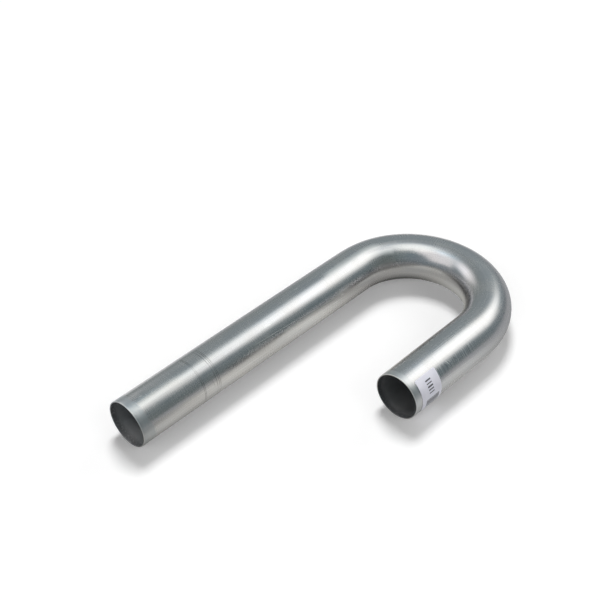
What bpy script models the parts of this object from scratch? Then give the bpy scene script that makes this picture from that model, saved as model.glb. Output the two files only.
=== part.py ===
"""Exhaust J-bend: one length of round steel tube, mandrel-bent through half a turn, and the paper label stuck on it.

The long leg lies at +Y and its mouth looks along -X. The bend turns about a vertical axis towards +X, and the short
leg comes back beside the long one at -Y. The tube lies flat, with its lowest line at Z = 0.
"""

import math

import bmesh
import bpy
from mathutils import Vector

# Tube, in metres and degrees
TUBE_DIAMETER = 0.0635
TUBE_WALL = 0.00165
LONG_LEG = 0.4064
SHORT_LEG = 0.1524
BEND_RADIUS = 0.1016
BEND_ANGLE = 180.0
RIM_CHAMFER = 0.0002

# What the bending does to the tube's section
OUTSIDE_THINNING = 0.17
INSIDE_THICKENING = 0.24
OUTSIDE_FLATTENING = 0.0007
CHANGE_LENGTH = 0.030

# Label
LABEL_ALONG = 0.0355
LABEL_AROUND = 0.060
LABEL_CORNER = 0.002
LABEL_THICKNESS = 0.0002
LABEL_FROM_RIM = 0.0123
LABEL_TOP_ANGLE = 58.0
LABEL_GAP = 0.0003

# Fineness of the mesh
SIDES = 48
BEND_STEP = 5.0
CHANGE_STEPS = 4
CORNER_STEPS = 3

UP = Vector((0.0, 0.0, 1.0))


def bend_length():
    """Length of the bend along the tube's centre line."""
    return BEND_RADIUS * math.radians(BEND_ANGLE)


def tube_length():
    return LONG_LEG + bend_length() + SHORT_LEG


def centre_line(distance):
    """Centre, direction and outward side of the tube, this far along it from the long leg's rim."""
    turned = min(max(distance - LONG_LEG, 0.0) / BEND_RADIUS, math.radians(BEND_ANGLE))
    outward = Vector((math.sin(turned), math.cos(turned), 0.0))
    forward = Vector((math.cos(turned), -math.sin(turned), 0.0))
    past_the_bend = max(distance - LONG_LEG - bend_length(), 0.0)
    before_the_bend = min(distance - LONG_LEG, 0.0)
    centre = outward * BEND_RADIUS + forward * (before_the_bend + past_the_bend)
    return centre + UP * TUBE_DIAMETER / 2, forward, outward


def smooth_step(value):
    value = min(max(value, 0.0), 1.0)
    return value * value * (3.0 - 2.0 * value)


def bent_share(distance):
    """0 where the tube is as drawn, 1 where it has the bend's full effect, and smooth across each end of the bend."""
    into_the_bend = min(distance - LONG_LEG, LONG_LEG + bend_length() - distance)
    return smooth_step(into_the_bend / CHANGE_LENGTH + 0.5)


def outer_radius(distance, angle):
    """The outside of the bend flattens a little. The angle runs from the outward side over the top."""
    facing_out = max(math.cos(angle), 0.0)
    return TUBE_DIAMETER / 2 - OUTSIDE_FLATTENING * bent_share(distance) * facing_out**2


def bore_radius(distance, angle):
    """The wall is stretched thin outside the bend and gathered thick inside it."""
    facing_out = math.cos(angle)
    change = -OUTSIDE_THINNING if facing_out > 0 else INSIDE_THICKENING
    wall = TUBE_WALL * (1.0 + change * abs(facing_out) * bent_share(distance))
    return outer_radius(distance, angle) - wall


def on_section(distance, angle, radius):
    centre, _, outward = centre_line(distance)
    return centre + (outward * math.cos(angle) + UP * math.sin(angle)) * radius


def ring(distance, radius_at, offset=0.0):
    """One turn round the tube, on the surface whose radius radius_at gives."""
    angles = [2.0 * math.pi * i / SIDES for i in range(SIDES)]
    return [on_section(distance, angle, radius_at(distance, angle) + offset) for angle in angles]


def spread(start, end, steps):
    return [start + (end - start) * i / steps for i in range(steps + 1)]


def bend_stations():
    """Distances along the tube where the bend needs a ring, from where its effect starts to where it ends."""
    half = CHANGE_LENGTH / 2
    bend_start = LONG_LEG
    bend_end = LONG_LEG + bend_length()
    steps = max(1, round((bend_length() - CHANGE_LENGTH) / (BEND_RADIUS * math.radians(BEND_STEP))))
    into = spread(bend_start - half, bend_start + half, CHANGE_STEPS)
    through = spread(bend_start + half, bend_end - half, steps)
    out_of = spread(bend_end - half, bend_end + half, CHANGE_STEPS)
    return into + through[1:-1] + out_of


def skin(rings, closed):
    """A mesh of quads between rings with as many points each. It closes on itself, or is capped at both ends."""
    mesh = bmesh.new()
    rows = [[mesh.verts.new(point) for point in points] for points in rings]
    pairs = list(zip(rows, rows[1:] + rows[:1]))
    if not closed:
        pairs.pop()
        mesh.faces.new(rows[0])
        mesh.faces.new(rows[-1])
    for row, following in pairs:
        for i in range(len(row)):
            mesh.faces.new((row[i - 1], row[i], following[i], following[i - 1]))
    bmesh.ops.recalc_face_normals(mesh, faces=mesh.faces)
    return mesh


def make_object(name, shape, material, parent):
    data = bpy.data.meshes.new(name)
    shape.to_mesh(data)
    shape.free()
    data.shade_smooth()
    data.set_sharp_from_angle(angle=math.radians(30))
    data.materials.append(material)
    piece = bpy.data.objects.new(name, data)
    piece.parent = parent
    bpy.context.collection.objects.link(piece)
    return piece


def make_material(name, colour, roughness, metallic):
    material = bpy.data.materials.new(name)
    material.use_nodes = True
    surface = material.node_tree.nodes["Principled BSDF"]
    surface.inputs["Base Color"].default_value = (*colour, 1.0)
    surface.inputs["Roughness"].default_value = roughness
    surface.inputs["Metallic"].default_value = metallic
    return material


def surface_rings(radius_at, rim_offset):
    """Rings from the long leg's rim to the short leg's. Those on the rims are offset, to chamfer the edge."""
    length = tube_length()
    stations = [RIM_CHAMFER] + bend_stations() + [length - RIM_CHAMFER]
    first = ring(0.0, radius_at, rim_offset)
    last = ring(length, radius_at, rim_offset)
    return [first] + [ring(distance, radius_at) for distance in stations] + [last]


def tube_shape():
    """Out along the outer surface from the long leg's rim to the short leg's, and back along the bore."""
    outside = surface_rings(outer_radius, -RIM_CHAMFER)
    bore = surface_rings(bore_radius, RIM_CHAMFER)
    return skin(outside + bore[::-1], closed=True)


def label_stations():
    """Lengths round the tube from the label's upper edge, close together where its corners are round."""
    facet = math.pi * TUBE_DIAMETER / SIDES
    corner = [LABEL_CORNER * (1.0 - math.cos(math.pi / 2 * i / CORNER_STEPS)) for i in range(CORNER_STEPS)]
    steps = max(1, round((LABEL_AROUND - 2 * LABEL_CORNER) / facet))
    middle = spread(LABEL_CORNER, LABEL_AROUND - LABEL_CORNER, steps)
    return corner + middle + [LABEL_AROUND - length for length in corner[::-1]]


def label_inset(around):
    """How far the round corners draw the label's side in, this far round from its upper edge."""
    into_the_corner = LABEL_CORNER - min(around, LABEL_AROUND - around)
    if into_the_corner <= 0.0:
        return 0.0
    return LABEL_CORNER - math.sqrt(max(LABEL_CORNER**2 - into_the_corner**2, 0.0))


def label_shape():
    """A sheet that follows the tube from its upper edge down over the outward side of the short leg."""
    inner = TUBE_DIAMETER / 2 + LABEL_GAP
    outer = inner + LABEL_THICKNESS
    far_side = tube_length() - LABEL_FROM_RIM - LABEL_ALONG
    rim_side = tube_length() - LABEL_FROM_RIM
    sections = []
    for around in label_stations():
        angle = math.radians(LABEL_TOP_ANGLE) - around / inner
        inset = label_inset(around)
        corners = (
            (far_side + inset, inner),
            (rim_side - inset, inner),
            (rim_side - inset, outer),
            (far_side + inset, outer),
        )
        sections.append([on_section(distance, angle, radius) for distance, radius in corners])
    return skin(sections, closed=False)


def middle_of(piece):
    """The point on the ground under the middle of the piece's box."""
    corners = [Vector(corner) for corner in piece.bound_box]
    low = Vector(min(corner[axis] for corner in corners) for axis in range(3))
    high = Vector(max(corner[axis] for corner in corners) for axis in range(3))
    return Vector(((low.x + high.x) / 2, (low.y + high.y) / 2, 0.0))


def main():
    for old in list(bpy.data.objects):
        bpy.data.objects.remove(old, do_unlink=True)
    part = bpy.data.objects.new("j_bend", None)
    bpy.context.collection.objects.link(part)
    steel = make_material("bright_steel", (0.55, 0.56, 0.56), 0.3, 1.0)
    paper = make_material("label_paper", (0.80, 0.80, 0.86), 0.6, 0.0)
    tube = make_object("tube", tube_shape(), steel, part)
    make_object("label", label_shape(), paper, part)
    part.location = -middle_of(tube)


main()
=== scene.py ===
"""Dresses the exhaust J-bend: a bright mandrel-bent steel tube with a paper label, on a white studio floor.

Lengths are in metres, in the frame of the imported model: +X runs along both legs from the mouths to the
bend, +Y from the short leg to the long leg, and +Z is up. A place on the tube is given by the distance
along its centre line from the long leg's mouth, and by an angle round it, where 0 faces out of the bend
and 90 is the top.
"""

import math

import bpy
import numpy as np
from mathutils import Matrix, Vector


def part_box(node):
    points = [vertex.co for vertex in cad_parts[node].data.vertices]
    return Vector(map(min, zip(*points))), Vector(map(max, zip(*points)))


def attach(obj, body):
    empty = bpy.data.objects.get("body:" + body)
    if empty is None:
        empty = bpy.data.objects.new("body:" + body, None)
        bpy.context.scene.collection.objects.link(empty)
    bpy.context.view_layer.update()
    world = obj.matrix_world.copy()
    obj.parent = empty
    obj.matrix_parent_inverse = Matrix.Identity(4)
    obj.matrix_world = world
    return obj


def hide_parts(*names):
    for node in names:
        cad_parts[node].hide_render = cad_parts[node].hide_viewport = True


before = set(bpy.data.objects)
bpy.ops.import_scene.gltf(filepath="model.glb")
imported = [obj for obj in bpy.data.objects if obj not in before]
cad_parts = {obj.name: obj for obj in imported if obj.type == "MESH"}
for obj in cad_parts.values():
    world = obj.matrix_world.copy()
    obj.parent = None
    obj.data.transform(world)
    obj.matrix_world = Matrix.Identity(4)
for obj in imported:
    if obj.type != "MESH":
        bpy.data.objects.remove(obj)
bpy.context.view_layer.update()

MICROMETRE = 1e-6

# The tube, as it is in the solids
TUBE_DIAMETER = 0.0635
TUBE_WALL = 0.00165
LONG_LEG = 0.4064
SHORT_LEG = 0.1524
BEND_RADIUS = 0.1016
OUTSIDE_THINNING = 0.17
INSIDE_THICKENING = 0.24
OUTSIDE_FLATTENING = 0.0007
CHANGE_LENGTH = 0.030

# What follows from those sizes
RADIUS = TUBE_DIAMETER / 2
BEND_LENGTH = BEND_RADIUS * math.pi
TUBE_LENGTH = LONG_LEG + BEND_LENGTH + SHORT_LEG
BEND_START_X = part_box("tube")[0].x + LONG_LEG

# How finely the tube is divided, how its sawn rims are rounded over, and how uneven the saw left them
SIDES = 144
LEG_STEP = 0.0045
BEND_STEPS = 120
RIM_ROUNDING = 0.0003
RIM_STEPS = 4
SAW_DEPTH = 0.00012
SAW_REACH = 0.002

# The label, as it is in the solids but lying closer to the tube, a millimetre wider towards the mouth and
# with its top a degree higher. Its upper and lower ends stand a little further off the tube.
LABEL_ALONG = 0.0365
LABEL_AROUND = 0.060
LABEL_CORNER = 0.002
LABEL_CORNER_STEPS = 9
LABEL_FROM_RIM = 0.0113
LABEL_TOP_ANGLE = 59.0
LABEL_GAP = 0.00005
LABEL_THICKNESS = 0.00016
LABEL_LIFT = 0.00012
LABEL_LIFT_REACH = 0.0025
LABEL_STEPS_ALONG = 44
LABEL_STEPS_AROUND = 90

# The print on the label, measured across it from its edge by the mouth and round the tube from its top: a
# row of blocks, a rule, and a strip of stripes that grows a little paler lower down
PRINT_EDGE = 0.00012
BLOCKS_ACROSS = (0.0138, 0.0228)
BLOCK_WIDTHS = (0.0017, 0.0012, 0.0020, 0.0015, 0.0012)
FIRST_BLOCK_AROUND = 0.0082
BLOCK_PITCH = 0.0041
RULE_ACROSS = (0.0076, 0.0315)
RULE_AROUND = (0.0322, 0.0329)
STRIP_ACROSS = (0.0078, 0.0315)
STRIP_AROUND = (0.0335, 0.0490)
STRIP_FADES = (0.0390, 0.0410)
STRIPE_PITCH = 0.0011

# Colours of the label's paper, light and lighter, of its fibres and of the print
PAPER_LIGHT = (0.70, 0.702, 0.78)
PAPER_LIGHTER = (0.735, 0.737, 0.805)
PAPER_FIBRES = (0.64, 0.64, 0.70)
BLOCK_INK = (0.045, 0.045, 0.055)
RULE_INK = (0.07, 0.07, 0.08)
STRIP_INK = (0.095, 0.097, 0.105)

# Colours of the steel, of its finishes at the ends and of its marks, and of the painted light and shade on
# it
STEEL_COOL = (0.510, 0.513, 0.529)
STEEL_WARM = (0.542, 0.531, 0.531)
STEEL_LINES = (0.570, 0.561, 0.566)
STEEL_STREAKS = (0.44, 0.45, 0.45)
STEEL_DULL = (0.45, 0.475, 0.495)
STEEL_BRUSHED = (0.60, 0.605, 0.61)
STEEL_WORN = (0.84, 0.84, 0.83)
STEEL_BORE = (0.63, 0.635, 0.645)
# Painted shade just inside the mouths
BORE_SHADE_PAINT = (0.13, 0.13, 0.135)
# The marks' colours, which on the long leg also paint highlights, a reflection and shade
LIGHT_MARK_AND_PAINTED_LIGHT = (0.86, 0.86, 0.85)
DARK_MARK_AND_PAINTED_SHADE = (0.20, 0.20, 0.20)

# Marks on the steel: from, to, width, strength. Places are in millimetres from that leg's mouth and in
# degrees round the tube, counted upwards from the side that faces the short leg on the long leg, and from
# the outer side on the short leg. Widths are in millimetres. The long leg's marks 5.5 mm and wider are
# painted light and shade: painted highlights near the bend, a painted reflection of brighter floor low on
# its side, and painted shade along its underside and low inside the bend.
LONG_LEG_LIGHT_MARKS_AND_PAINTED_LIGHT = (
    ((185, 36.5), (268, 28), 0.9, 0.65),
    ((262, 28.6), (343, 18), 0.8, 0.55),
    ((345, 16.2), (350, 15.6), 1.3, 1.0),
    ((209, 57), (229, 55.5), 0.8, 0.9),
    ((205, 60), (222, 58.5), 0.7, 0.7),
    ((290, 97), (297, 95.5), 2.2, 0.35),
    ((240, 3), (246, 2.5), 0.6, 0.5),
    ((327, 8), (338, 6), 0.7, 0.45),
    ((60, 12), (118, 9), 0.7, 0.35),
    ((130, 5), (190, 2), 0.6, 0.35),
    ((20, 88), (26, 84), 0.8, 0.5),
    # Painted highlights near the bend, then a painted reflection of brighter floor low on the leg's side
    ((332, 80), (452, 79), 10.0, 0.45),
    ((408, 58), (468, 53), 8.0, 0.45),
    ((225, 21), (370, 19), 5.5, 0.45),
)
LONG_LEG_DARK_MARKS_AND_PAINTED_SHADE = (
    ((190, 33.5), (268, 25.5), 0.9, 0.45),
    ((262, 26), (336, 16.5), 0.8, 0.35),
    ((179, 1), (181, -3), 0.7, 0.6),
    ((262, 1), (266, -2), 0.7, 0.55),
    ((112, 30), (114, 4), 0.6, 0.5),
    ((60, 26), (96, 23), 0.6, 0.35),
    # Painted shade along the underside, and low inside the bend
    ((-60, -35), (540, -36), 9.0, 0.7),
    ((425, 19), (560, 14), 9.0, 0.3),
)
SHORT_LEG_LIGHT_MARKS = (
    ((68, 53), (71, 40), 0.9, 1.0),
    ((72, 52), (74, 43), 0.6, 0.7),
    ((58, 84), (120, 84), 0.6, 0.4),
    ((62, 88), (130, 87.5), 0.5, 0.3),
    ((52, 20), (110, 16), 0.6, 0.35),
)
SHORT_LEG_DARK_MARKS = (
    ((60, 86), (126, 86), 0.6, 0.45),
    ((64, 50), (67, 38), 1.2, 0.6),
    ((81, 50), (84, 40), 1.1, 0.5),
    ((137, 98), (142, 97), 1.0, 0.5),
)
# Rings round the long leg, in millimetres from its mouth, with half their width and how far they fade out
RINGS = (97.4, 99.3, 118.2, 121.4, 123.6)
RING_HALF = 0.0002
RING_FADE = 0.0005
# A finely hatched stretch of the short leg, in metres from its mouth and degrees up its outer side
HATCHED_ALONG = (0.052, 0.112)
HATCHED_ANGLES = (33.0, 50.0)
HATCH_FADE_ALONG = 0.01
HATCH_FADE_AROUND = 0.003

# How far from the mouths the finishes of the ends begin to give way, and where they are gone. The long leg's
# dull end is ragged, and reaches further back on the underside than on top.
DULL_END = (0.0105, 0.0145)
DULL_END_WAVES = 0.008
DULL_END_SPECKLES = 0.005
DULL_END_SLANT = 0.005
BRUSHED_END = (0.0075, 0.0105)
WORN_EDGE = (0.0003, 0.0008)
# Where the painted shade just inside the mouths starts to fade, and where it is gone
PAINTED_BORE_SHADE_REACH = (0.002, 0.013)
# Between these distances from the long leg's mouth, the look of its bore turns into that of the short leg's.
BORE_CHANGE = (0.1, 0.2)

# The camera, fitted to the photograph
EYE = Vector((-0.774134, -0.682285, 0.965758))
YAW = 0.774038
PITCH = 0.688066
ROLL = -0.016227
FOCAL_PIXELS = 1092.85
PICTURE_PIXELS = 600
SENSOR = 36.0

# Soft-edged panels that only the steel and the paper's gloss mirror: name, azimuth, elevation, distance,
# width and height in distances, turn, share of each half that fades out, radiance
PANELS = (
    ("right_panel", -15.6, 45.6, 3.1, 1.13, 0.96, -6.6, 0.76, (1.80, 1.73, 1.63)),
    ("left_panel", 98.6, 36.4, 2.0, 0.90, 1.16, -28.9, 0.91, (1.40, 1.33, 1.35)),
    ("far_left_panel", 161.0, 53.6, 1.7, 0.89, 1.10, 0.4, 0.16, (0.97, 0.90, 0.87)),
    ("top_panel", -39.5, 85.6, 1.5, 0.93, 0.79, -6.2, 0.67, (1.40, 1.39, 1.29)),
    ("left_top_panel", 96.4, 70.3, 1.2, 0.61, 0.40, 29.6, 0.97, (0.27, 0.52, 0.68)),
    ("near_panel", 4.3, 64.4, 0.55, 0.98, 0.72, 5.4, 0.55, (0.17, 0.20, 0.24)),
)

# The rest of the studio: a dim red all round, and wide cool glows towards four sides that turn it grey. They
# stand at this elevation, and end where the cosine of the angle from their middle is down to this.
STUDIO_BASE = (0.09, 0.02, 0.0)
GLOW_ELEVATION = 25.0
GLOW_END = 0.1
GLOWS = (
    (0.0, (0.08, 0.105, 0.14)),
    (60.0, (0.21, 0.31, 0.315)),
    (180.0, (0.18, 0.30, 0.35)),
    (300.0, (0.08, 0.18, 0.19)),
)

# The suns that light the white floor and the label and throw the shadow (azimuth, elevation, angle across,
# strength), and more lamps for the label, one of them in place of the light that the floor throws back up
SUNS = (
    (46.0, 59.0, 22.0, 2.55),
    (181.0, 25.0, 54.0, 0.98),
    (289.0, 31.0, 42.0, 0.78),
    (358.0, 28.0, 30.0, 0.60),
)
LABEL_LAMPS = (
    (-60.0, 25.0, 30.0, 0.72),
    (-90.0, -55.0, 90.0, 1.15),
)

# The white floor that the camera sees, which lies just below the part
FLOOR_HALF = 6.0
FLOOR_DEPTH = 0.0001
FLOOR_WHITE = 0.8
FLOOR_ROUGHNESS = 0.7
FLOOR_GLOW = 0.232

# The floor that the steel mirrors. Its glow is painted light and shade: a painted shadow makes it dark under
# the tube. Inside the J it is brightest close by and dims further off, outside the J it keeps brightening,
# and painted pools of light lie on it: (x, y), spread, brightness
PAINTED_SHADOW_UNDER_TUBE = 0.04
INSIDE_RISE = 0.38
INSIDE_REACH = 0.036
INSIDE_POWER = 3.0
INSIDE_FADE_FROM = 0.050
INSIDE_FADE = 0.160
INSIDE_COLOUR = (1.01, 1.0, 0.965)
OUTSIDE_RISE = 0.47
OUTSIDE_REACH = 0.052
OUTSIDE_POWER = 1.6
OUTSIDE_COLOUR = (0.975, 1.0, 1.03)
PAINTED_LIGHT_POOLS = (
    ((-0.02, 0.03), 0.08, 0.25),
    ((0.06, 0.0), 0.05, 0.545),
    ((-0.12, 0.0), 0.06, 0.43),
    ((0.10, -0.18), 0.06, 0.39),
    ((0.20, -0.16), 0.05, 0.095),
    ((0.0, -0.18), 0.06, 0.085),
    ((-0.225, 0.045), 0.035, 0.25),
    ((0.200, -0.004), 0.022, 0.35),
    ((-0.17, 0.31), 0.10, 0.5),
    ((0.42, 0.22), 0.09, 0.6),
)
PAINTED_POOL_COLOUR = (1.0, 1.0, 0.93)
MIRRORED_HALF = 1.5
MIRRORED_STEPS = 260
MIRRORED_EVEN = 0.2


def smooth_step(share):
    share = np.clip(share, 0.0, 1.0)
    return share * share * (3.0 - 2.0 * share)


def centre_line(distance):
    """The centre, and the direction out of the bend, at each distance from the long leg's mouth."""
    turned = np.clip((distance - LONG_LEG) / BEND_RADIUS, 0.0, math.pi)
    past_the_bend = np.maximum(distance - LONG_LEG - BEND_LENGTH, 0.0)
    before_the_bend = np.minimum(distance - LONG_LEG, 0.0)
    outward = np.stack([np.sin(turned), np.cos(turned), 0.0 * turned], axis=-1)
    forward = np.stack([np.cos(turned), -np.sin(turned), 0.0 * turned], axis=-1)
    centre = outward * BEND_RADIUS + forward * (before_the_bend + past_the_bend)[..., None]
    return centre + np.array([BEND_START_X, 0.0, RADIUS]), outward


def bent_share(distance):
    """0 on the legs and 1 in the bend, changing smoothly at the bend's ends."""
    into_the_bend = np.minimum(distance - LONG_LEG, LONG_LEG + BEND_LENGTH - distance)
    return smooth_step(into_the_bend / CHANGE_LENGTH + 0.5)


def outer_radius(distance, angle):
    facing_out = np.maximum(np.cos(angle), 0.0)
    return RADIUS - OUTSIDE_FLATTENING * bent_share(distance) * facing_out**2


def wall_thickness(distance, angle):
    facing_out = np.cos(angle)
    change = np.where(facing_out > 0.0, -OUTSIDE_THINNING, INSIDE_THICKENING)
    return TUBE_WALL * (1.0 + change * np.abs(facing_out) * bent_share(distance))


def on_section(distance, angle, radius):
    """Points of the tube's cross-sections, from arrays of one shape."""
    centre, outward = centre_line(distance)
    across = outward * np.cos(angle)[..., None]
    across[..., 2] = np.sin(angle)
    return centre + across * radius[..., None]


def make_object(name, points, faces, attributes):
    """A smooth-shaded mesh with float (name: array of n) or vector (name: array of n by 3) attributes."""
    mesh = bpy.data.meshes.new(name)
    mesh.from_pydata(points.tolist(), [], faces.tolist())
    mesh.shade_smooth()
    for title, values in attributes.items():
        kind, field = ("FLOAT", "value") if values.ndim == 1 else ("FLOAT_VECTOR", "vector")
        layer = mesh.attributes.new(title, kind, "POINT")
        layer.data.foreach_set(field, values.astype(np.float32).ravel())
    piece = bpy.data.objects.new(name, mesh)
    bpy.context.scene.collection.objects.link(piece)
    return piece


def grid_faces(rows, columns, close_rows, close_columns):
    """Quads between neighbours of a grid of points numbered row by row."""
    r = np.arange(rows if close_rows else rows - 1)[:, None]
    c = np.arange(columns if close_columns else columns - 1)[None, :]
    next_r, next_c = (r + 1) % rows, (c + 1) % columns
    corners = [r * columns + c, r * columns + next_c, next_r * columns + next_c, next_r * columns + c]
    return np.stack(np.broadcast_arrays(*corners), axis=-1).reshape(-1, 4)


def tube_stations():
    """Distances of the rings along the tube between the two rounded rims."""
    long_leg = np.linspace(RIM_ROUNDING, LONG_LEG, round(LONG_LEG / LEG_STEP))
    bend = LONG_LEG + BEND_LENGTH * np.arange(1, BEND_STEPS) / BEND_STEPS
    end_of_bend = LONG_LEG + BEND_LENGTH
    short_leg = np.linspace(end_of_bend, TUBE_LENGTH - RIM_ROUNDING, round(SHORT_LEG / LEG_STEP))
    return np.concatenate([long_leg, bend, short_leg])


def rim_profile():
    """The rings round a rim, from outside to bore.

    Each is how far it lies in from the mouth, how far in from the outside, and how much of the wall further.
    """
    turn = np.linspace(0.0, math.pi / 2, RIM_STEPS + 1)[1:]
    outside = [(RIM_ROUNDING * (1 - math.sin(t)), RIM_ROUNDING * (1 - math.cos(t)), 0.0) for t in turn]
    bore = [(back, -inward, 1.0) for back, inward, _ in reversed(outside)]
    return outside + bore


def saw_marks(angle):
    """How far the saw left each part of a rim short of square."""
    wander = 0.5 + 0.25 * np.sin(2 * angle + 0.7) + 0.15 * np.sin(5 * angle + 2.1) + 0.1 * np.sin(11 * angle)
    return SAW_DEPTH * wander


def make_tube():
    angles = np.linspace(0.0, 2 * math.pi, SIDES, endpoint=False)
    stations = tube_stations()
    rim = rim_profile()
    rings = [(d, 0.0, 0.0) for d in stations]
    rings += [(TUBE_LENGTH - back, inward, share) for back, inward, share in rim]
    rings += [(d, 0.0, 1.0) for d in reversed(stations)]
    rings += [(back, inward, share) for back, inward, share in reversed(rim)]
    distance, inward, share = (np.array(column)[:, None] for column in zip(*rings))
    distance = distance + 0 * angles
    angle = angles + 0 * distance
    # The saw's wander fades out over the first millimetres of each leg.
    fade = np.exp(-distance / SAW_REACH) - np.exp(-(TUBE_LENGTH - distance) / SAW_REACH)
    placed = distance + saw_marks(angle) * fade
    radius = outer_radius(distance, angle) - inward - share * wall_thickness(distance, angle)
    points = on_section(placed, angle, radius).reshape(-1, 3)
    straight = np.stack([distance, RADIUS * np.cos(angle), RADIUS * np.sin(angle)], axis=-1).reshape(-1, 3)
    bore = np.broadcast_to(share, distance.shape).reshape(-1)
    faces = grid_faces(len(rings), SIDES, True, True)[:, ::-1]
    return make_object("steel_tube", points, faces, {"straight": straight, "bore": bore})


def label_columns():
    """Places across the label, closer together where its corners turn."""
    corner = LABEL_CORNER * (1 - np.cos(np.linspace(0.0, math.pi / 2, LABEL_CORNER_STEPS)))
    middle = np.linspace(LABEL_CORNER, LABEL_ALONG - LABEL_CORNER, LABEL_STEPS_ALONG)
    return np.concatenate([corner, middle[1:-1], LABEL_ALONG - corner[::-1]])


def make_label():
    along = label_columns()
    to_side = np.minimum(np.minimum(along, LABEL_ALONG - along), LABEL_CORNER)
    inset = LABEL_CORNER - np.sqrt(np.maximum(LABEL_CORNER**2 - (LABEL_CORNER - to_side) ** 2, 0.0))
    share = np.linspace(0.0, 1.0, LABEL_STEPS_AROUND)[None, :]
    around = inset[:, None] + share * (LABEL_AROUND - 2 * inset[:, None])
    along = along[:, None] + 0 * around
    angle = math.radians(LABEL_TOP_ANGLE) - around / RADIUS
    distance = TUBE_LENGTH - LABEL_FROM_RIM - along
    # The paper's ends stand a little proud where the glue has let go.
    to_end = np.minimum(around, LABEL_AROUND - around)
    uneven = 0.6 + 0.4 * np.cos(along / LABEL_ALONG * 2 * math.pi)
    lift = LABEL_LIFT * np.exp(-to_end / LABEL_LIFT_REACH) * uneven
    low = RADIUS + LABEL_GAP + lift
    high = low + LABEL_THICKNESS
    rows, columns = along.shape
    outside = on_section(distance, angle, high).reshape(-1, 3)
    inside = on_section(distance, angle, low).reshape(-1, 3)
    points = np.concatenate([outside, inside])
    top = grid_faces(rows, columns, False, False)
    bottom = top[:, ::-1] + rows * columns
    number = np.arange(rows * columns).reshape(rows, columns)
    edge = np.concatenate([number[0, :-1], number[:-1, -1], number[-1, :0:-1], number[:0:-1, 0]])
    next_edge = np.roll(edge, -1)
    sides = np.stack([edge, edge + rows * columns, next_edge + rows * columns, next_edge], axis=-1)
    faces = np.concatenate([top, bottom, sides])
    sheet = np.stack([along, around, 0 * along], axis=-1).reshape(-1, 3)
    return make_object("paper_label", points, faces, {"sheet": np.concatenate([sheet, sheet])})


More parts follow.
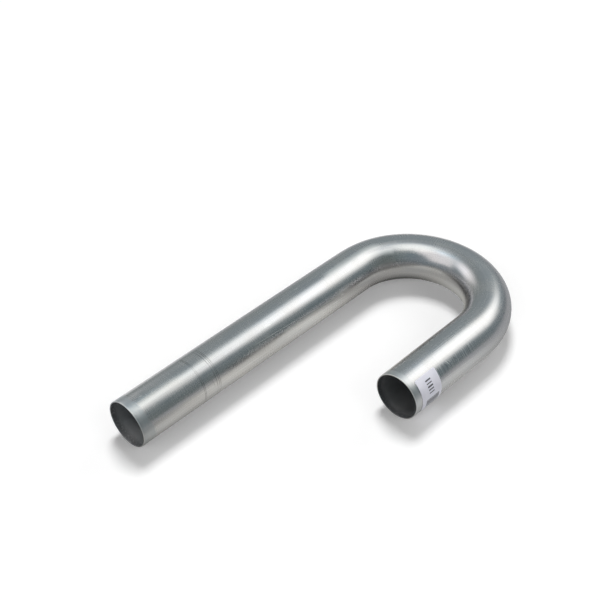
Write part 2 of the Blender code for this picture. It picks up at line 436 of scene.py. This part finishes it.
class Shader:
    """A node material being put together. Most methods add nodes to it and return the last one's output."""

    def __init__(self, name):
        self.material = bpy.data.materials.new(name)
        self.material.use_nodes = True
        self.tree = self.material.node_tree
        self.principled = self.tree.nodes["Principled BSDF"]

    def node(self, kind, **settings):
        made = self.tree.nodes.new(kind)
        for setting, value in settings.items():
            setattr(made, setting, value)
        return made

    def plug(self, socket, value):
        """Links an output socket to an input, or sets the input to a value."""
        if isinstance(value, bpy.types.NodeSocket):
            self.tree.links.new(value, socket)
        else:
            socket.default_value = value

    def finish_with(self, title, value):
        self.plug(self.principled.inputs[title], value)

    def attribute(self, name, output):
        return self.node("ShaderNodeAttribute", attribute_name=name).outputs[output]

    def maths(self, operation, *values):
        made = self.node("ShaderNodeMath", operation=operation)
        for socket, value in zip(made.inputs, values):
            self.plug(socket, value)
        return made.outputs[0]

    def dot(self, vector, towards):
        made = self.node("ShaderNodeVectorMath", operation="DOT_PRODUCT")
        self.plug(made.inputs[0], vector)
        made.inputs[1].default_value = towards
        return made.outputs["Value"]

    def place(self, along, around):
        made = self.node("ShaderNodeCombineXYZ")
        self.plug(made.inputs[0], along)
        self.plug(made.inputs[1], around)
        return made.outputs[0]

    def parts(self, vector):
        made = self.node("ShaderNodeSeparateXYZ")
        self.plug(made.inputs[0], vector)
        return made.outputs

    def stretched(self, vector, along, across, shift=0.0):
        """Where a noise is read, for so many of its cells to a metre along and across, moved by shift."""
        made = self.node("ShaderNodeVectorMath", operation="MULTIPLY_ADD")
        self.plug(made.inputs[0], vector)
        made.inputs[1].default_value = (along, across, across)
        made.inputs[2].default_value = (shift, shift, shift)
        return made.outputs[0]

    def noise(self, vector, detail=2.0, roughness=0.5):
        made = self.node("ShaderNodeTexNoise")
        self.plug(made.inputs["Vector"], vector)
        made.inputs["Scale"].default_value = 1.0
        made.inputs["Detail"].default_value = detail
        made.inputs["Roughness"].default_value = roughness
        return made.outputs["Fac"]

    def ramp(self, value, start, end, low=0.0, high=1.0):
        """Low up to start, high from end, and smooth between."""
        made = self.node("ShaderNodeMapRange", interpolation_type="SMOOTHSTEP")
        for socket, number in zip(made.inputs, (value, start, end, low, high)):
            self.plug(socket, number)
        return made.outputs[0]

    def band(self, value, start, end, soft):
        """1 from start to end, fading to 0 over the length soft outside them."""
        rise = self.ramp(value, start - soft, start)
        fall = self.ramp(value, end, end + soft, 1.0, 0.0)
        return self.maths("MULTIPLY", rise, fall)

    def stroke(self, place, start, end, width):
        """1 on a straight line over the surface, fading out at its sides and towards its ends."""
        start, end = Vector((*start, 0.0)), Vector((*end, 0.0))
        length = (end - start).length
        ahead = (end - start) / length
        aside = Vector((-ahead.y, ahead.x, 0.0))
        along = self.maths("SUBTRACT", self.dot(place, ahead), start.dot(ahead))
        across = self.maths("SUBTRACT", self.dot(place, aside), start.dot(aside))
        in_length = self.band(along, 0.15 * length, 0.85 * length, 0.15 * length)
        return self.maths("MULTIPLY", in_length, self.band(across, -width / 4, width / 4, width / 2))

    def strokes(self, place, marks):
        """The strongest at each place of marks given as (from, to, width, strength), in mm and degrees."""
        total = 0.0
        for start, end, width, strength in marks:
            on_surface = [(along / 1000, math.radians(angle) * RADIUS) for along, angle in (start, end)]
            mark = self.stroke(place, *on_surface, width / 1000)
            total = self.maths("MAXIMUM", total, self.maths("MULTIPLY", mark, strength))
        return total

    def blend(self, share, first, second):
        made = self.node("ShaderNodeMix", data_type="RGBA")
        self.plug(made.inputs["Factor"], share)
        for socket, colour in ((made.inputs[6], first), (made.inputs[7], second)):
            self.plug(socket, colour if isinstance(colour, bpy.types.NodeSocket) else (*colour, 1.0))
        return made.outputs[2]

    def bump(self, height, depth, under=None):
        """Normals of a relief: height from 0 to 1 times depth in metres, over another relief if given."""
        made = self.node("ShaderNodeBump")
        made.inputs["Distance"].default_value = depth
        self.plug(made.inputs["Height"], height)
        if under is not None:
            self.plug(made.inputs["Normal"], under)
        return made.outputs[0]


def steel_material():
    """Bright drawn steel: lengthwise lines, clouds, handling scratches and rings, dull sawn ends, painted
    light and shade.
    """
    m = Shader("bright_steel_drawn")
    straight = m.attribute("straight", "Vector")
    bore = m.attribute("bore", "Fac")
    from_long_mouth, outward, height = m.parts(straight)
    from_short_mouth = m.maths("SUBTRACT", TUBE_LENGTH, from_long_mouth)
    inner_side = m.maths("MULTIPLY", m.maths("ARCTAN2", height, m.maths("MULTIPLY", outward, -1.0)), RADIUS)
    outer_side = m.maths("MULTIPLY", m.maths("ARCTAN2", height, outward), RADIUS)
    on_long_leg = m.place(from_long_mouth, inner_side)
    on_short_leg = m.place(from_short_mouth, outer_side)

    fine_lines = m.noise(m.stretched(straight, 10.0, 2400.0), detail=2.0)
    lines = m.noise(m.stretched(straight, 5.0, 420.0, 3.1), detail=3.0)
    streaks = m.noise(m.stretched(straight, 9.0, 950.0, 9.4), detail=2.0, roughness=0.6)
    clouds = m.noise(m.stretched(straight, 26.0, 42.0, 7.7), detail=3.0, roughness=0.55)
    rings = m.noise(m.stretched(straight, 620.0, 16.0, 1.3), detail=2.0)
    grain = m.noise(m.stretched(straight, 5200.0, 5200.0, 5.9), detail=1.0)

    # Only the outside is scratched, and only it carries the painted light and shade.
    outside = m.maths("SUBTRACT", 1.0, bore)
    # On the long leg these marks are also painted highlights, a painted reflection and painted shade
    light = m.strokes(on_long_leg, LONG_LEG_LIGHT_MARKS_AND_PAINTED_LIGHT)
    light = m.maths("MAXIMUM", light, m.strokes(on_short_leg, SHORT_LEG_LIGHT_MARKS))
    dark_marks_and_painted_shade = m.strokes(on_long_leg, LONG_LEG_DARK_MARKS_AND_PAINTED_SHADE)
    dark_marks_and_painted_shade = m.maths("MAXIMUM", dark_marks_and_painted_shade, m.strokes(on_short_leg, SHORT_LEG_DARK_MARKS))
    broken = m.ramp(clouds, 0.40, 0.58, 0.25, 0.75)
    for ring in RINGS:
        line = m.band(from_long_mouth, ring / 1000 - RING_HALF, ring / 1000 + RING_HALF, RING_FADE)
        dark_marks_and_painted_shade = m.maths("MAXIMUM", dark_marks_and_painted_shade, m.maths("MULTIPLY", line, broken))
    hatched = m.band(from_short_mouth, *HATCHED_ALONG, HATCH_FADE_ALONG)
    hatched_from, hatched_to = (math.radians(angle) * RADIUS for angle in HATCHED_ANGLES)
    hatched_around = m.band(outer_side, hatched_from, hatched_to, HATCH_FADE_AROUND)
    hatched = m.maths("MULTIPLY", hatched, hatched_around)
    light = m.maths("MAXIMUM", light, m.maths("MULTIPLY", hatched, m.ramp(rings, 0.56, 0.66, 0.0, 0.3)))
    dark_marks_and_painted_shade = m.maths("MAXIMUM", dark_marks_and_painted_shade, m.maths("MULTIPLY", hatched, m.ramp(rings, 0.34, 0.44, 0.35, 0.0)))
    light = m.maths("MULTIPLY", light, outside)
    dark_marks_and_painted_shade = m.maths("MULTIPLY", dark_marks_and_painted_shade, outside)

    # The long leg's end is dull, further back on its underside than on top. The short leg's end is brushed.
    flecks = m.noise(m.stretched(straight, 420.0, 300.0, 2.6), detail=3.0)
    ragged = m.maths("MULTIPLY_ADD", clouds, DULL_END_WAVES, -DULL_END_WAVES / 2)
    ragged = m.maths("ADD", ragged, -DULL_END_SPECKLES / 2)
    ragged = m.maths("MULTIPLY_ADD", flecks, DULL_END_SPECKLES, ragged)
    slanting = m.maths("MULTIPLY_ADD", height, DULL_END_SLANT / RADIUS, -DULL_END_SLANT)
    end_place = m.maths("ADD", m.maths("ADD", from_long_mouth, ragged), slanting)
    dull_end = m.ramp(end_place, *DULL_END, 1.0, 0.0)
    brushed_end = m.ramp(from_short_mouth, *BRUSHED_END, 1.0, 0.0)
    # Just inside the mouths the bore is painted darker, a painted shade with lighter flecks. On the long leg
    # the painted shade is weaker, and its flecks are lighter still.
    to_mouth = m.maths("MINIMUM", from_long_mouth, from_short_mouth)
    painted_bore_shade = m.maths("MULTIPLY", bore, m.ramp(to_mouth, *PAINTED_BORE_SHADE_REACH, 0.85, 0.0))
    shade_in_flecks = m.ramp(from_long_mouth, *BORE_CHANGE, 0.35, 0.78)
    painted_bore_shade = m.maths("MULTIPLY", painted_bore_shade, m.ramp(flecks, 0.50, 0.66, 1.0, shade_in_flecks))
    painted_bore_shade = m.maths("MULTIPLY", painted_bore_shade, m.ramp(from_long_mouth, *BORE_CHANGE, 0.78, 1.0))
    worn_edge = m.maths("MULTIPLY", outside, m.ramp(to_mouth, *WORN_EDGE, 0.7, 0.0))

    colour = m.blend(m.ramp(clouds, 0.3, 0.7), STEEL_COOL, STEEL_WARM)
    colour = m.blend(m.ramp(lines, 0.35, 0.75, 0.0, 0.6), colour, STEEL_LINES)
    colour = m.blend(m.ramp(streaks, 0.30, 0.55, 0.35, 0.0), colour, STEEL_STREAKS)
    mottled = m.maths("MULTIPLY", dull_end, m.ramp(flecks, 0.35, 0.65, 0.95, 0.55))
    colour = m.blend(mottled, colour, STEEL_DULL)
    colour = m.blend(m.maths("MULTIPLY", brushed_end, 0.8), colour, STEEL_BRUSHED)
    # Marks, with the painted highlights, reflection and shade among them
    colour = m.blend(m.maths("MULTIPLY", light, 0.9), colour, LIGHT_MARK_AND_PAINTED_LIGHT)
    colour = m.blend(m.maths("MULTIPLY", dark_marks_and_painted_shade, 0.9), colour, DARK_MARK_AND_PAINTED_SHADE)
    colour = m.blend(worn_edge, colour, STEEL_WORN)
    colour = m.blend(bore, colour, m.blend(painted_bore_shade, STEEL_BORE, BORE_SHADE_PAINT))
    m.finish_with("Base Color", colour)

    rough = m.ramp(lines, 0.25, 0.75, 0.222, 0.262)
    rough = m.maths("ADD", rough, m.ramp(clouds, 0.3, 0.75, -0.02, 0.05))
    rough = m.maths("ADD", rough, m.ramp(rings, 0.35, 0.75, -0.01, 0.03))
    rough = m.maths("MULTIPLY_ADD", dull_end, m.ramp(flecks, 0.3, 0.7, 0.17, 0.10), rough)
    rough = m.maths("MULTIPLY_ADD", brushed_end, 0.12, rough)
    rough = m.maths("MULTIPLY_ADD", light, 0.2, rough)
    rough = m.maths("MULTIPLY_ADD", bore, 0.2, rough)
    m.finish_with("Roughness", rough)
    m.finish_with("Metallic", 1.0)

    relief = m.bump(lines, 1.8 * MICROMETRE)
    relief = m.bump(streaks, 0.5 * MICROMETRE, relief)
    relief = m.bump(fine_lines, 0.12 * MICROMETRE, relief)
    relief = m.bump(rings, 0.12 * MICROMETRE, relief)
    relief = m.bump(grain, 0.02 * MICROMETRE, relief)
    m.finish_with("Normal", relief)
    return m.material


def paper_material():
    """White label paper with a row of blocks, a rule and a striped strip printed on it."""
    m = Shader("label_paper_printed")
    sheet = m.attribute("sheet", "Vector")
    across, around, _ = m.parts(sheet)
    fibres = m.noise(m.stretched(sheet, 900.0, 900.0), detail=4.0, roughness=0.6)
    clouds = m.noise(m.stretched(sheet, 90.0, 90.0, 4.0), detail=2.0)
    paper = m.blend(m.ramp(clouds, 0.3, 0.7), PAPER_LIGHT, PAPER_LIGHTER)
    paper = m.blend(m.ramp(fibres, 0.35, 0.8, 0.0, 0.35), paper, PAPER_FIBRES)

    def block(across_from, across_to, around_from, around_to):
        inside = m.band(across, across_from, across_to, PRINT_EDGE)
        return m.maths("MULTIPLY", inside, m.band(around, around_from, around_to, PRINT_EDGE))

    ink = 0.0
    for count, width in enumerate(BLOCK_WIDTHS):
        middle = FIRST_BLOCK_AROUND + count * BLOCK_PITCH
        printed = block(*BLOCKS_ACROSS, middle - width / 2, middle + width / 2)
        ink = m.maths("MAXIMUM", ink, printed)
    rule = block(*RULE_ACROSS, *RULE_AROUND)
    stripes = m.maths("SINE", m.maths("MULTIPLY", across, 2 * math.pi / STRIPE_PITCH))
    fade = m.ramp(around, *STRIP_FADES, 1.0, 0.75)
    strip = block(*STRIP_ACROSS, *STRIP_AROUND)
    strip = m.maths("MULTIPLY", strip, m.ramp(stripes, -0.6, 0.6, 0.60, 1.0))
    strip = m.maths("MULTIPLY", strip, fade)
    wear = m.ramp(fibres, 0.3, 0.5, 0.72, 1.0)
    colour = m.blend(m.maths("MULTIPLY", ink, wear), paper, BLOCK_INK)
    colour = m.blend(m.maths("MULTIPLY", rule, wear), colour, RULE_INK)
    colour = m.blend(m.maths("MULTIPLY", strip, wear), colour, STRIP_INK)
    m.finish_with("Base Color", colour)
    m.finish_with("Roughness", m.ramp(fibres, 0.3, 0.8, 0.42, 0.56))
    m.finish_with("Normal", m.bump(fibres, 9.0 * MICROMETRE))
    return m.material


def make_floor():
    """The white floor that the camera sees. It glows a little, and the steel doesn't mirror it."""
    m = Shader("floor_white")
    m.finish_with("Base Color", (FLOOR_WHITE, FLOOR_WHITE, FLOOR_WHITE, 1.0))
    m.finish_with("Roughness", FLOOR_ROUGHNESS)
    m.finish_with("Specular IOR Level", 0.0)
    m.finish_with("Emission Color", (1.0, 1.0, 1.0, 1.0))
    m.finish_with("Emission Strength", FLOOR_GLOW)
    m.material.cycles.emission_sampling = "NONE"
    corners = np.array([(-1, -1, 0), (1, -1, 0), (1, 1, 0), (-1, 1, 0)]) * FLOOR_HALF
    corners = corners - np.array([0.0, 0.0, FLOOR_DEPTH])
    floor = make_object("floor", corners, np.array([(0, 1, 2, 3)]), {})
    floor.data.materials.append(m.material)
    floor.visible_glossy = False
    floor.visible_diffuse = False
    floor.visible_shadow = False
    return floor


def place_by_tube(x, y):
    """How far places on the floor lie from the tube's centre line, and which of them are inside the J."""
    past_legs = x > BEND_START_X
    turn = np.hypot(x - BEND_START_X, y)
    by_long_leg = np.hypot(np.maximum(BEND_START_X - LONG_LEG - x, 0.0), y - BEND_RADIUS)
    by_short_leg = np.hypot(np.maximum(BEND_START_X - SHORT_LEG - x, 0.0), y + BEND_RADIUS)
    away = np.where(past_legs, np.abs(turn - BEND_RADIUS), np.minimum(by_long_leg, by_short_leg))
    inside = np.where(past_legs, turn, np.abs(y)) < BEND_RADIUS
    return away, inside


def mirrored_light(x, y):
    """The glow of the floor that the steel mirrors, with its painted shadow and painted pools of light."""
    away, inside = place_by_tube(x, y)
    near = PAINTED_SHADOW_UNDER_TUBE + INSIDE_RISE * (1.0 - np.exp(-((away / INSIDE_REACH) ** INSIDE_POWER)))
    near = near * np.exp(-np.maximum(away - INSIDE_FADE_FROM, 0.0) / INSIDE_FADE)
    far = PAINTED_SHADOW_UNDER_TUBE + OUTSIDE_RISE * (1.0 - np.exp(-((away / OUTSIDE_REACH) ** OUTSIDE_POWER)))
    light = np.where(inside, near, far)[:, None] * np.where(inside[:, None], INSIDE_COLOUR, OUTSIDE_COLOUR)
    for (pool_x, pool_y), spread, brightness in PAINTED_LIGHT_POOLS:
        pool = np.exp(-((x - pool_x) ** 2 + (y - pool_y) ** 2) / (2 * spread**2))
        light = light + (brightness * pool)[:, None] * PAINTED_POOL_COLOUR
    return light


def make_mirrored_floor():
    """A glowing floor, seen only in what is glossy. Its points lie closer together near the part."""
    share = np.linspace(-1.0, 1.0, MIRRORED_STEPS)
    line = MIRRORED_HALF * (MIRRORED_EVEN * share + (1.0 - MIRRORED_EVEN) * share**5)
    x, y = (side.ravel() for side in np.meshgrid(line, line, indexing="ij"))
    points = np.stack([x, y, 0.0 * x - 2 * FLOOR_DEPTH], axis=-1)
    faces = grid_faces(MIRRORED_STEPS, MIRRORED_STEPS, False, False)
    floor = make_object("floor_mirrored", points, faces, {"light": mirrored_light(x, y)})
    m = Shader("floor_glow")
    glow = m.node("ShaderNodeEmission")
    m.plug(glow.inputs["Color"], m.attribute("light", "Color"))
    m.plug(m.tree.nodes["Material Output"].inputs["Surface"], glow.outputs[0])
    m.material.cycles.emission_sampling = "NONE"
    floor.data.materials.append(m.material)
    floor.visible_camera = False
    floor.visible_diffuse = False
    floor.visible_shadow = False


def direction(azimuth, elevation):
    """Towards a place in the studio, given in degrees."""
    a, e = math.radians(azimuth), math.radians(elevation)
    return Vector((math.cos(a) * math.cos(e), math.sin(a) * math.cos(e), math.sin(e)))


def make_sun(name, azimuth, elevation, angle, strength, lit):
    """A sun that lights only the objects in lit, and isn't mirrored."""
    light = bpy.data.lights.new(name, "SUN")
    light.energy = strength
    light.angle = math.radians(angle)
    # Otherwise part of its light would pass through the tube, which diffuse rays don't see.
    light.cycles.use_multiple_importance_sampling = False
    lamp = bpy.data.objects.new(name, light)
    towards = direction(azimuth, elevation)
    lamp.location = towards
    lamp.rotation_mode = "QUATERNION"
    lamp.rotation_quaternion = towards.to_track_quat("Z", "Y")
    lamp.visible_camera = False
    lamp.visible_glossy = False
    receivers = bpy.data.collections.new(name + "_lights")
    for piece in lit:
        receivers.objects.link(piece)
    lamp.light_linking.receiver_collection = receivers
    bpy.context.scene.collection.objects.link(lamp)


def make_panel(name, azimuth, elevation, distance, wide, high, turn, soft, radiance):
    """A glowing panel facing the origin, bright in the middle, that adds to what is behind it."""
    towards = direction(azimuth, elevation)
    sideways = Vector((0.0, 0.0, 1.0)).cross(towards).normalized()
    upwards = towards.cross(sideways)
    c, s = math.cos(math.radians(turn)), math.sin(math.radians(turn))
    half_wide = (sideways * c + upwards * s) * (wide * distance / 2)
    half_high = (upwards * c - sideways * s) * (high * distance / 2)
    corners = ((-1, -1), (1, -1), (1, 1), (-1, 1))
    points = [towards * distance + half_wide * a + half_high * b for a, b in corners]
    place = np.array([(a, b, 0.0) for a, b in corners])
    panel = make_object(name, np.array(points), np.array([(0, 1, 2, 3)]), {"place": place})
    m = Shader(name + "_glow")
    across, along, _ = m.parts(m.attribute("place", "Vector"))
    fade = [m.ramp(m.maths("ABSOLUTE", side), 1.0 - soft, 1.0, 1.0, 0.0) for side in (across, along)]
    glow = m.node("ShaderNodeEmission")
    glow.inputs["Color"].default_value = (*radiance, 1.0)
    m.plug(glow.inputs["Strength"], m.maths("MULTIPLY", *fade))
    both = m.node("ShaderNodeAddShader")
    m.plug(both.inputs[0], glow.outputs[0])
    m.plug(both.inputs[1], m.node("ShaderNodeBsdfTransparent").outputs[0])
    m.plug(m.tree.nodes["Material Output"].inputs["Surface"], both.outputs[0])
    m.material.cycles.emission_sampling = "NONE"
    panel.data.materials.append(m.material)
    panel.visible_camera = False
    panel.visible_diffuse = False
    panel.visible_shadow = False


def make_lights(pieces, label, floor):
    for panel in PANELS:
        make_panel(*panel)
    for count, sun in enumerate(SUNS):
        make_sun("sun_%d" % (count + 1), *sun, [*pieces, floor])
    for count, lamp in enumerate(LABEL_LAMPS):
        make_sun("label_lamp_%d" % (count + 1), *lamp, [label])


def make_world():
    """A dim studio with wide glows. It lights only what is glossy."""
    world = bpy.data.worlds.new("studio")
    bpy.context.scene.world = world
    world.use_nodes = True
    tree = world.node_tree
    place = tree.nodes.new("ShaderNodeTexCoord")
    total = None
    for azimuth, colour in GLOWS:
        dot = tree.nodes.new("ShaderNodeVectorMath")
        dot.operation = "DOT_PRODUCT"
        dot.inputs[1].default_value = direction(azimuth, GLOW_ELEVATION)
        tree.links.new(place.outputs["Generated"], dot.inputs[0])
        ramp = tree.nodes.new("ShaderNodeMapRange")
        ramp.interpolation_type = "SMOOTHSTEP"
        ramp.inputs["From Min"].default_value = GLOW_END
        tree.links.new(dot.outputs["Value"], ramp.inputs["Value"])
        scale = tree.nodes.new("ShaderNodeVectorMath")
        scale.operation = "MULTIPLY_ADD"
        scale.inputs[1].default_value = colour
        tree.links.new(ramp.outputs[0], scale.inputs[0])
        if total is None:
            scale.inputs[2].default_value = STUDIO_BASE
        else:
            tree.links.new(total, scale.inputs[2])
        total = scale.outputs[0]
    tree.links.new(total, tree.nodes["Background"].inputs["Color"])
    world.cycles_visibility.diffuse = False


def make_camera():
    camera = bpy.data.cameras.new("camera")
    camera.sensor_width = SENSOR
    camera.lens = FOCAL_PIXELS * SENSOR / PICTURE_PIXELS
    camera.clip_start = 0.01
    camera.clip_end = 50.0
    forward = Vector((math.cos(PITCH) * math.cos(YAW), math.cos(PITCH) * math.sin(YAW), -math.sin(PITCH)))
    level_right = forward.cross(Vector((0.0, 0.0, 1.0))).normalized()
    level_up = level_right.cross(forward)
    right = level_right * math.cos(ROLL) + level_up * math.sin(ROLL)
    up = level_up * math.cos(ROLL) - level_right * math.sin(ROLL)
    holder = bpy.data.objects.new("camera", camera)
    holder.matrix_world = Matrix.Translation(EYE) @ Matrix((right, up, -forward)).transposed().to_4x4()
    bpy.context.scene.collection.objects.link(holder)
    bpy.context.scene.camera = holder


bpy.context.scene.view_settings.view_transform = "Standard"

tube = make_tube()
tube.data.materials.append(steel_material())
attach(tube, "root")
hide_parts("tube")
# The steel throws no glints onto the floor, whose light is worked out without them.
tube.visible_diffuse = False

label = make_label()
label.data.materials.append(paper_material())
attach(label, "root")
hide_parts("label")

white_floor = make_floor()
make_mirrored_floor()
make_lights([tube, label], label, white_floor)
make_world()
make_camera()
